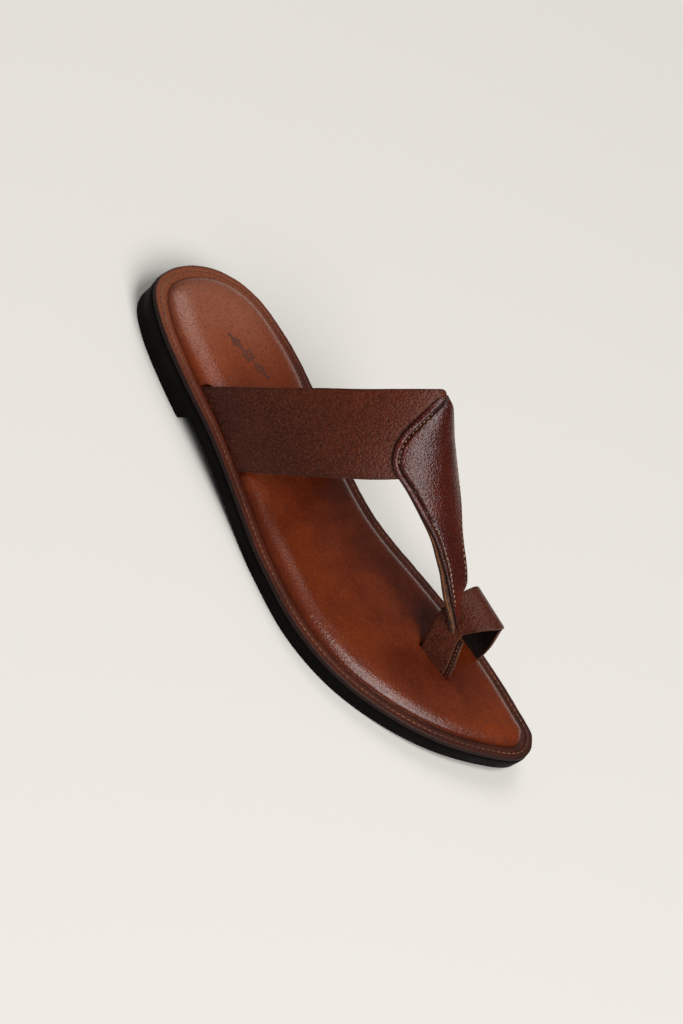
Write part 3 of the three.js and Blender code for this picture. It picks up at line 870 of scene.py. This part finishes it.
def make_rim():
    top = RIM_THICKNESS
    profile = [  # inset, rise, share of the cut edge's wander
        (1.0, 0, 0), (0.05, 0, 0.1), (0, 0.3, 0.5), (0, top - 0.9, 1), (0.06, top - 0.45, 1),
        (0.25, top - 0.15, 1), (0.6, top, 1), (1.2, top, 0.6), (2.0, top, 0.2),
        (2.45, top - 0.02, 0), (2.75, top - 0.22, 0), (CHANNEL, top - 0.3, 0),
        (3.35, top - 0.22, 0), (3.65, top - 0.02, 0), (4.4, top + 0.05, 0), (5.4, top + 0.03, 0),
        (6.2, top - 0.1, 0), (6.8, top - 0.4, 0), (8.5, top - RIM_GROOVE, 0),
        (10.5, top - RIM_GROOVE, 0),
    ]
    base = grounded(outline(0, SOLE_STEPS))
    rough = RAGGED * wander(base, 6.0, 3.0) + 0.5 * RAGGED * wander(base, 2.2, 3.0)
    loops = []
    for inset, rise, share in profile:
        flat = outline(inset + share * rough[:, None], SOLE_STEPS)
        swell = 0.1 * wander(grounded(flat), 12.0, 5.0) * (1.0 if inset > 0.5 else 0.4)
        heights = rim_bottom(flat[:, 0]) + rise + swell * (rise > 0)
        loops.append(np.column_stack([flat, heights]))
    loops = np.array(loops)
    x = loops[..., 0]
    edges = np.array([inset for inset, _, _ in profile])[:, None]
    sides = np.array([1.0 * (rise < top - 0.3 and inset < 2) for inset, rise, _ in profile])
    # The field tone: lighter at the heel, partly the leather's own colour and partly painted sheen,
    # and darker towards the toe.
    tone = 0.3 + 0.95 * (1 - smooth_step(10, 110, x)) - 0.3 * smooth_step(200, 260, x)
    skin = stacked(loops, edge=edges, side=sides[:, None], tone=tone)
    skin.cap(loops[0], 4, lambda p: rim_bottom(p[..., 0]), side=1.0)
    skin.cap(loops[-1], 8, lambda p: rim_top(p[..., 0]) - RIM_GROOVE, edge=9.0)
    rim = skin.build("footbed_rim_leather")
    cut(rim, CUTTERS)
    return settle(rim, RIM_LEATHER, "rim_leather", "footbed_rim")


def make_rim_stitches():
    flat = outline(CHANNEL, 700)
    flat = np.vstack([flat, flat[:1]])
    points = np.column_stack([flat, rim_top(flat[:, 0]) - 0.25])
    up = np.tile([0.0, 0.0, 1.0], (len(points), 1))
    return stitches("rim_stitches", points, up, TAN_THREAD, "rim_leather", 3.0, 2.1, 0.27, 0.02)


def pad_height(points):
    """The cushion's top: a rounded shoulder, a low crown, the hollows that a foot has pressed, and
    a soft unevenness."""
    x = points[..., 0]
    inside = from_edge(points) - RIM_MARGIN
    share = np.clip(inside / (SHOULDER - 3.5 * smooth_step(75, 125, x)), 0, 1)
    rounded = (1 - (1 - share) ** SHOULDER_POWER) ** (1 / SHOULDER_POWER)
    crown = smooth_step(0, 30, inside) * (1 - 0.4 * smooth_step(90, 130, x))
    flat = points * (1, 1, 0)
    soft = (0.28 * wander(flat, 24, 2.0) + 0.1 * wander(flat, 9, 4.0)) * share
    top = pad_bottom(x) - PAD_EDGE_SUNK + (PAD_THICKNESS + PAD_EDGE_SUNK) * rounded
    return top + crown + patches(points, HOLLOWS) + soft


def pad_tone(points):
    return 0.3 - 0.08 * smooth_step(90, 130, points[..., 0]) + patches(points, DYE_SHEEN_AND_SHADE)


def make_pad():
    insides = np.concatenate([[0, 0.08, 0.26, 0.58, 1.05], np.linspace(1.6, PAD_LOOPED, 9)])
    loops = [level(RIM_MARGIN - 0.1, lambda x: pad_bottom(x) - PAD_SUNK, PAD_STEPS)]
    for inside in insides:
        loop = level(RIM_MARGIN + inside, pad_bottom, PAD_STEPS)
        loop[:, 2] = pad_height(loop)
        loops.append(loop)
    loops = np.array(loops)
    edges = np.array([-0.1, *insides])[:, None]
    skin = stacked(loops, edge=edges, tone=pad_tone(loops), side=0.0)
    skin.cap(loops[-1], 68, pad_height, edge=lambda p: from_edge(p) - RIM_MARGIN, tone=pad_tone)
    skin.cap(loops[0], 4, lambda p: pad_bottom(p[..., 0]) - PAD_SUNK, side=1.0)
    pad = skin.build("footbed_pad_leather")
    cut(pad, CUTTERS)
    settle(pad, PAD_LEATHER, "pad_leather", "footbed_pad")
    return pad


def make_motif(pad):
    """A small rosette between two lozenges and two dots on the heel seat, in fine low lines."""
    around = np.linspace(0, 2 * math.pi, 96, endpoint=False)
    petals = 3.7 * (0.76 + 0.24 * np.cos(6 * around))
    lozenge = 1 / (np.abs(np.cos(around)) / 3.8 + np.abs(np.sin(around)) / 2.5)
    middle, dot = np.full(96, 1.2), np.full(96, 0.6)
    shapes = [  # how far along from the rosette, radius all round
        (0, petals), (0, middle), (-8.4, lozenge), (8.4, lozenge), (-8.4, lozenge * 0.4),
        (8.4, lozenge * 0.4), (-13.4, dot), (13.4, dot),
    ]
    centre = np.array([54.0, 3.6])
    lengthways, sideways = np.array([0.966, 0.259]), np.array([-0.259, 0.966])
    skin = Skin()
    for shift, reach in shapes:
        u, v = shift + reach * np.cos(around), reach * np.sin(around)
        points = grounded(centre + u[:, None] * lengthways + v[:, None] * sideways)
        points[:, 2] = pad_height(points) + 1
        spots, normals = laid_on(pad, points)
        spots = spots + 0.05 * normals
        ahead = unit(np.roll(spots, -1, axis=0) - np.roll(spots, 1, axis=0))
        across = unit(np.cross(normals, ahead))
        line = (spots[:, None] + 0.38 * np.cos(ONCE_ROUND) * across[:, None]
                + 0.09 * np.sin(ONCE_ROUND) * normals[:, None])
        skin.grid(np.vstack([line, line[:1]]), closed=True)
    return settle(skin.build("heel_rosette"), TOOLING, "pad_leather")


# ---- Upper --------------------------------------------------------------------------------------
def make_band():
    turns = np.concatenate([np.linspace(-1.03, -0.3, 90), np.linspace(-0.29, 0.3, 80),
                            np.linspace(0.31, 1.03, 70)])
    band = strip("instep_band", band_row, turns, -WALL, 0, 0.45, 40, slack=0.25, seed=1.0,
                 tone=lambda p: 0.15 + 0.6 * smooth_step(-36, 12, p[:, 1]))
    settle(band, BAND_LEATHER, "band_leather", "upper")


def make_strap():
    rows = np.linspace(STRAP_START, 218, 150)
    strap = strip("centre_strap", strap_row, rows, -STRAP_WALL - 0.1, -0.05, 0.35, 24,
                  slack=0.3, seed=4.0)
    return settle(strap, SUEDE, "band_leather")


def make_ring():
    """The ring, a lining behind its toe post, and the stitches that show on the lining."""
    # The field tone makes the ring lighter towards its top and darker at its foot: a painted
    # highlight on the top and painted shade at the foot.
    ring = strip("toe_ring", ring_row, np.linspace(-0.03, 1.03, 220), -WALL, 0, 0.6, 26,
                 slack=0.2, seed=2.0, tone=lambda p: 0.12 + 0.4 * smooth_step(18, 32, p[:, 2]))
    settle(ring, BAND_LEATHER, "band_leather")
    # The lining is darker all over: the field seam mixes it halfway towards the back colour.
    lining = strip("toe_ring_lining", lambda place, shares: ring_row(place, 0.02 + 1.15 * shares),
                   np.linspace(-0.03, 0.3, 120), -WALL - 2.8, -WALL - 0.05, 0.5, 24,
                   slack=0.2, seed=6.0, seam=lambda p: np.full(len(p), 0.5))
    settle(lining, BAND_LEATHER, "band_leather")
    places = np.linspace(0.02, 0.28, 120)
    ahead = unit(np.array([ring_face(1.0, place) - ring_face(0.0, place) for place in places]))
    for name, across, out, forward in (("post_face_stitches", 1.085, 0.0, 0),
                                       ("post_edge_stitches", 1.17, -WALL - 1.5, 2)):
        path = np.array([ring_face(across, place) for place in places])
        normal = np.array([face_normal(ring_face, across, place) for place in places])
        path, normals = laid_on(lining, path + normal * out + ahead * forward)
        stitches(name, path, normals, GOLD_THREAD, "band_leather", 1.9, 0.9, 0.26, 0.06)


def make_fringe(strap):
    edge = np.array([strap_row(x, np.zeros(1))[0][0] for x in np.linspace(168, 216, 300)])
    edge, normals = laid_on(strap, edge + face_up(edge) * 0.6)
    stitches("strap_fringe", edge, normals, GOLD_THREAD, "band_leather", 1.15, 0.95, 0.24, 0.02)


leaf_trees = [tree_of(edge_line(side, 126, OVERLAY_TIP)) for side in (0, 1)]


def from_leaf_edge(points, side):
    return np.array([leaf_trees[side].find(p)[2] for p in points])


def wing_share(points):
    """1 on the overlay's wing, and 0 further on, where it only lies along the strap."""
    return 1 - smooth_step(164, 182, points[:, 0])


def overlay_relief(points):
    """A rolled edge with a sunk seam beside it round the wing, which fades to a shallow stitch
    line."""
    outer, inner = from_leaf_edge(points, 0), from_leaf_edge(points, 1)
    wing = wing_share(points)
    roll = 0.5 * np.sqrt(np.clip(1 - ((outer - 1.35) / 1.4) ** 2, 0, 1))
    roll = roll - 0.75 * bump(outer, SEAM_INSET, 0.5)
    pillow = 0.55 * (1 - np.exp(-np.maximum(outer - SEAM_INSET, 0) / 3))
    line = -0.22 * bump(outer, LINE_INSET, 0.5) * (1 - wing) - 0.25 * bump(inner, 2.0, 0.45)
    thinned = APEX_THIN * (1 - smooth_step(127, 132, points[:, 0]))
    return wing * (roll + pillow) + line - thinned


def overlay_seam(points):
    outer, wing = from_leaf_edge(points, 0), wing_share(points)
    return (0.85 * wing * bump(outer, SEAM_INSET, 0.6)
            + 0.4 * (1 - wing) * bump(outer, LINE_INSET, 0.6))


OVERLAY_STITCHES = [  # name, outer (0) or inner (1) edge, start, end, inset, thread, pitch
    ("overlay_apex_stitches", 0, 128, 147, 3.0, PALE_THREAD, 2.6),
    ("overlay_wing_stitches", 0, 148, 170, 3.0, DARK_THREAD, 2.4),
    ("overlay_stitches", 0, 171, 209, 2.9, PALE_THREAD, 2.6),
    ("overlay_edge_stitches", 0, 150, 206, 0.5, DARK_THREAD, 1.7),
    ("overlay_inner_stitches", 1, 130, 201, 1.7, PALE_THREAD, 2.8),
    ("overlay_inner_edge_stitches", 1, 131, 165, 0.4, DARK_THREAD, 1.9),
]


def make_overlay():
    rows = np.concatenate([np.linspace(127, 134, 40), np.linspace(134.4, OVERLAY_TIP, 170)])
    overlay = strip("centre_overlay_leather", overlay_row, rows, 0.05, GAP + OVERLAY_WALL, 0.7,
                    60, slack=0.1, seed=3.0, relief=overlay_relief, seam=overlay_seam)
    settle(overlay, OVERLAY_LEATHER, "overlay_leather", "centre_overlay")
    middle = [upper_face(x, turn_of(x, 14.0)) for x in np.linspace(126, OVERLAY_TIP, 300)]
    for name, side, start, end, inset, material, pitch in OVERLAY_STITCHES:
        path = moved_in(edge_line(side, start, end), inset, np.array(middle))
        path, normals = laid_on(overlay, path + face_up(path) * 2.0)
        stitches(name, path, normals, material, "overlay_leather", pitch, pitch * 0.52, 0.24, 0.04)


# ---- Stage --------------------------------------------------------------------------------------
FLOOR_REACH = 6.0
FLOOR_COLOUR = (0.80, 0.785, 0.745, 1)
AZIMUTH, ELEVATION, ROLL = 14, 39.5, 50  # of the camera, in degrees
DISTANCE, LENS = 2.5, 185.45
AIM = Vector((-0.00417, 0.02444, 0.0037))
WORLD_COLOUR, WORLD_STRENGTH = (1.0, 0.985, 0.96, 1), 0.11
LIGHTS = [  # name, location, height of its aim, size, watts, colour
    ("key", (2.25, -1.35, 2.48), 0.03, 1.8, 84, (1.0, 0.985, 0.965)),
    ("top", (1.0, -0.25, 3.3), 0.0, 1.3, 42, (1.0, 0.985, 0.97)),
    ("left", (-1.8, 1.1, 2.8), 0.02, 2.0, 30, (1.0, 0.985, 0.97)),
]


def look_from(location, aim, roll=0.0):
    back = (Vector(location) - Vector(aim)).normalized()
    turned = back.to_track_quat("Z", "Y").to_matrix()
    return (turned @ Matrix.Rotation(math.radians(roll), 3, "Z")).to_euler()


def make_stage():
    reach = FLOOR_REACH
    corners = [(-reach, -reach, 0), (reach, -reach, 0), (reach, reach, 0), (-reach, reach, 0)]
    mesh = bpy.data.meshes.new("floor")
    mesh.from_pydata(corners, [], [(0, 1, 2, 3)])
    floor = bpy.data.objects.new("floor", mesh)
    paper = Finish("pale_paper", specular_ior_level=0.0)
    mesh.materials.append(paper.finish(FLOOR_COLOUR, 1.0))
    bpy.context.scene.collection.objects.link(floor)

    azimuth, elevation = math.radians(AZIMUTH), math.radians(ELEVATION)
    back = Vector((math.sin(azimuth) * math.cos(elevation),
                   -math.cos(azimuth) * math.cos(elevation), math.sin(elevation)))
    data = bpy.data.cameras.new("camera")
    data.sensor_width, data.lens = 36, LENS
    data.clip_start, data.clip_end = 0.1, 50
    camera = bpy.data.objects.new("camera", data)
    camera.location = AIM + back * DISTANCE
    camera.rotation_euler = look_from(camera.location, AIM, ROLL)
    bpy.context.scene.collection.objects.link(camera)
    bpy.context.scene.camera = camera

    world = bpy.data.worlds.new("studio")
    world.use_nodes = True
    background = world.node_tree.nodes["Background"]
    background.inputs["Color"].default_value = WORLD_COLOUR
    background.inputs["Strength"].default_value = WORLD_STRENGTH
    bpy.context.scene.world = world
    bpy.context.scene.view_settings.view_transform = "Standard"
    for name, location, height, size, watts, colour in LIGHTS:
        data = bpy.data.lights.new(name, "AREA")
        data.shape, data.size = "SQUARE", size
        data.energy, data.color = watts, colour
        light = bpy.data.objects.new(name, data)
        light.location, light.rotation_euler = location, look_from(location, (0, 0, height))
        bpy.context.scene.collection.objects.link(light)


make_stage()
make_outsole()
make_heel()
make_rim()
make_motif(make_pad())
make_rim_stitches()
make_band()
centre_strap = make_strap()
make_ring()
make_fringe(centre_strap)
make_overlay()
for blade in CUTTERS:
    bpy.data.objects.remove(blade)
